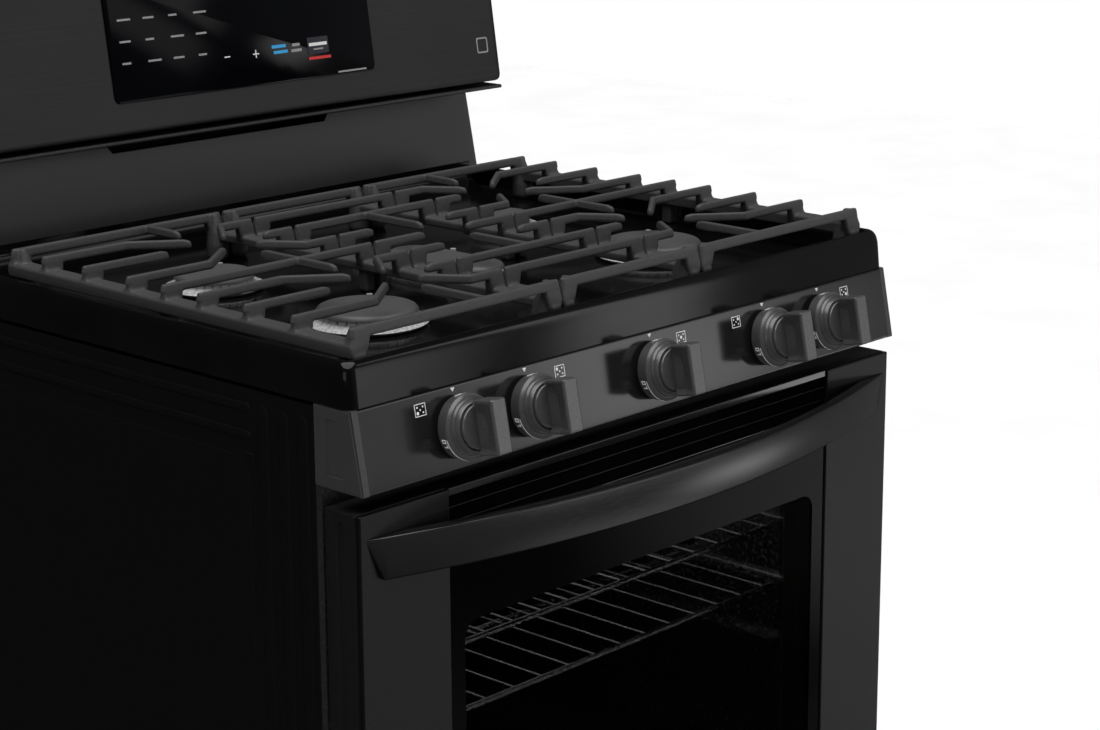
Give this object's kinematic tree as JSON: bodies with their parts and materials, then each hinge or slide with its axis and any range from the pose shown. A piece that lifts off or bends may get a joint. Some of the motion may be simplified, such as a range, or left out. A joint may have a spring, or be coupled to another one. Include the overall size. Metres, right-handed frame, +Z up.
{
  "type": "freestanding gas range",
  "caption": "Freestanding gas range: drop-down oven door with bow handle, storage drawer, push-to-turn knobs, cast grates over burners and a raised control backguard.",
  "frame": {"origin": "centre of the outline on the floor", "axes": "+Z up, -Y out of the oven door, +X to the right as seen from the front"},
  "size_m": [0.759, 0.735, 1.208],
  "materials": {
    "side_black": "satin black enamel",
    "enamel_black": "glossy black porcelain enamel",
    "dark_steel": "brushed black stainless",
    "panel_steel": "dark grey satin",
    "galvanised": "zinc-coated sheet",
    "oven_enamel": "speckled dark enamel",
    "insulation_wool": "mineral wool",
    "dark_glass": "tinted oven window",
    "touch_glass": "black control glass",
    "cast_iron": "matt cast iron",
    "burner_enamel": "dark grey matt enamel",
    "burner_alloy": "cast aluminium",
    "chrome_wire": "plated wire",
    "brass_fitting": "brass",
    "zinc_pipe": "coated pipe",
    "knob_metal": "metallic dark grey",
    "ceramic_white": "white ceramic",
    "gasket_fibre": "woven fibre seal",
    "black_plastic": "black moulded",
    "board_green": "circuit board",
    "lamp_glass": "clear lamp cover",
    "screw_steel": "zinc screws"
  },
  "bodies": {
    "cabinet": {"side_panel_left": "side_black", "side_panel_right": "side_black", "back_panel": "galvanised", "base_pan": "galvanised", "levelling_feet": "black_plastic", "front_frame": "enamel_black", "oven_cavity": "oven_enamel", "oven_insulation": "insulation_wool", "oven_floor": "oven_enamel", "bake_burner": "burner_alloy", "broil_burner": "burner_alloy", "rack_guides": "chrome_wire", "oven_lamp": "lamp_glass", "door_hinges": "screw_steel", "cooktop": "enamel_black", "control_panel": "panel_steel", "panel_end_caps": "panel_steel", "gas_valves": "brass_fitting", "gas_manifold": "zinc_pipe", "burner_tubes": "zinc_pipe", "gas_regulator": "brass_fitting", "burner_heads": "burner_alloy", "igniters": "ceramic_white", "backguard_lower": "panel_steel", "backguard_shelf": "panel_steel", "control_box": "dark_steel", "control_glass": "touch_glass", "control_board": "board_green", "backguard_cover": "galvanised", "cover_screws": "screw_steel", "drawer_rails": "galvanised"},
    "oven_door": {"door_gasket": "gasket_fibre", "door_liner": "side_black", "door_skin": "dark_steel", "door_vent_trim": "black_plastic", "door_glass_outer": "dark_glass", "door_glass_inner": "dark_glass", "door_handle": "dark_steel"},
    "storage_drawer": {"drawer_front": "dark_steel", "drawer_box": "galvanised"},
    "rack_lower": {"oven_rack_lower": "chrome_wire"},
    "rack_upper": {"oven_rack_upper": "chrome_wire"},
    "left_grate": {"grate_left": "cast_iron"},
    "centre_grate": {"grate_centre": "cast_iron"},
    "right_grate": {"grate_right": "cast_iron"},
    "stem_left_front": {"valve_stem_left_front": "screw_steel"},
    "turn_left_front": {"knob_left_front": "knob_metal"},
    "cap_left_front": {"burner_cap_left_front": "burner_enamel"},
    "stem_left_rear": {"valve_stem_left_rear": "screw_steel"},
    "turn_left_rear": {"knob_left_rear": "knob_metal"},
    "cap_left_rear": {"burner_cap_left_rear": "burner_enamel"},
    "stem_centre": {"valve_stem_centre": "screw_steel"},
    "turn_centre": {"knob_centre": "knob_metal"},
    "cap_centre": {"burner_cap_centre": "burner_enamel"},
    "stem_right_rear": {"valve_stem_right_rear": "screw_steel"},
    "turn_right_rear": {"knob_right_rear": "knob_metal"},
    "cap_right_rear": {"burner_cap_right_rear": "burner_enamel"},
    "stem_right_front": {"valve_stem_right_front": "screw_steel"},
    "turn_right_front": {"knob_right_front": "knob_metal"},
    "cap_right_front": {"burner_cap_right_front": "burner_enamel"}
  },
  "joints": [
    {"name": "oven_door_hinge", "type": "hinge", "parent": "cabinet", "child": "oven_door", "pos_m": [0, -0.283, 0.252], "axis": [1, 0, 0], "range_deg": [0, 88], "stiffness_Nm_per_rad": 20, "springref_deg": -14.32},
    {"name": "drawer_slide", "type": "slide", "parent": "cabinet", "child": "storage_drawer", "axis": [0, -1, 0], "range_m": [0, 0.38]},
    {"name": "lower_rack_slide", "type": "slide", "parent": "cabinet", "child": "rack_lower", "axis": [0, -1, 0], "range_m": [0, 0.024]},
    {"name": "upper_rack_slide", "type": "slide", "parent": "cabinet", "child": "rack_upper", "axis": [0, -1, 0], "range_m": [0, 0.024]},
    {"name": "left_grate_lift", "type": "slide", "parent": "cabinet", "child": "left_grate", "axis": [0, 0, 1], "range_m": [0, 0.08]},
    {"name": "centre_grate_lift", "type": "slide", "parent": "cabinet", "child": "centre_grate", "axis": [0, 0, 1], "range_m": [0, 0.08]},
    {"name": "right_grate_lift", "type": "slide", "parent": "cabinet", "child": "right_grate", "axis": [0, 0, 1], "range_m": [0, 0.08]},
    {"name": "left_front_cap_lift", "type": "slide", "parent": "cabinet", "child": "cap_left_front", "axis": [0, 0, 1], "range_m": [0, 0.008]},
    {"name": "left_rear_cap_lift", "type": "slide", "parent": "cabinet", "child": "cap_left_rear", "axis": [0, 0, 1], "range_m": [0, 0.008]},
    {"name": "centre_cap_lift", "type": "slide", "parent": "cabinet", "child": "cap_centre", "axis": [0, 0, 1], "range_m": [0, 0.008]},
    {"name": "right_rear_cap_lift", "type": "slide", "parent": "cabinet", "child": "cap_right_rear", "axis": [0, 0, 1], "range_m": [0, 0.008]},
    {"name": "right_front_cap_lift", "type": "slide", "parent": "cabinet", "child": "cap_right_front", "axis": [0, 0, 1], "range_m": [0, 0.008]},
    {"name": "left_front_knob_push", "type": "slide", "parent": "cabinet", "child": "stem_left_front", "axis": [0, 0.9819, -0.1896], "range_m": [0, 0.0032], "stiffness_N_per_m": 600, "springref_m": -0.004},
    {"name": "left_front_knob_turn", "type": "hinge", "parent": "stem_left_front", "child": "turn_left_front", "pos_m": [-0.2605, -0.3039, 0.84375], "axis": [0, -0.9819, 0.1896], "range_deg": [0, 230]},
    {"name": "left_rear_knob_push", "type": "slide", "parent": "cabinet", "child": "stem_left_rear", "axis": [0, 0.9819, -0.1896], "range_m": [0, 0.0032], "stiffness_N_per_m": 600, "springref_m": -0.004},
    {"name": "left_rear_knob_turn", "type": "hinge", "parent": "stem_left_rear", "child": "turn_left_rear", "pos_m": [-0.1705, -0.3039, 0.84375], "axis": [0, -0.9819, 0.1896], "range_deg": [0, 230]},
    {"name": "centre_knob_push", "type": "slide", "parent": "cabinet", "child": "stem_centre", "axis": [0, 0.9819, -0.1896], "range_m": [0, 0.0032], "stiffness_N_per_m": 600, "springref_m": -0.004},
    {"name": "centre_knob_turn", "type": "hinge", "parent": "stem_centre", "child": "turn_centre", "pos_m": [0, -0.3039, 0.84375], "axis": [0, -0.9819, 0.1896], "range_deg": [0, 230]},
    {"name": "right_rear_knob_push", "type": "slide", "parent": "cabinet", "child": "stem_right_rear", "axis": [0, 0.9819, -0.1896], "range_m": [0, 0.0032], "stiffness_N_per_m": 600, "springref_m": -0.004},
    {"name": "right_rear_knob_turn", "type": "hinge", "parent": "stem_right_rear", "child": "turn_right_rear", "pos_m": [0.1705, -0.3039, 0.84375], "axis": [0, -0.9819, 0.1896], "range_deg": [0, 230]},
    {"name": "right_front_knob_push", "type": "slide", "parent": "cabinet", "child": "stem_right_front", "axis": [0, 0.9819, -0.1896], "range_m": [0, 0.0032], "stiffness_N_per_m": 600, "springref_m": -0.004},
    {"name": "right_front_knob_turn", "type": "hinge", "parent": "stem_right_front", "child": "turn_right_front", "pos_m": [0.2605, -0.3039, 0.84375], "axis": [0, -0.9819, 0.1896], "range_deg": [0, 230]}
  ]
}
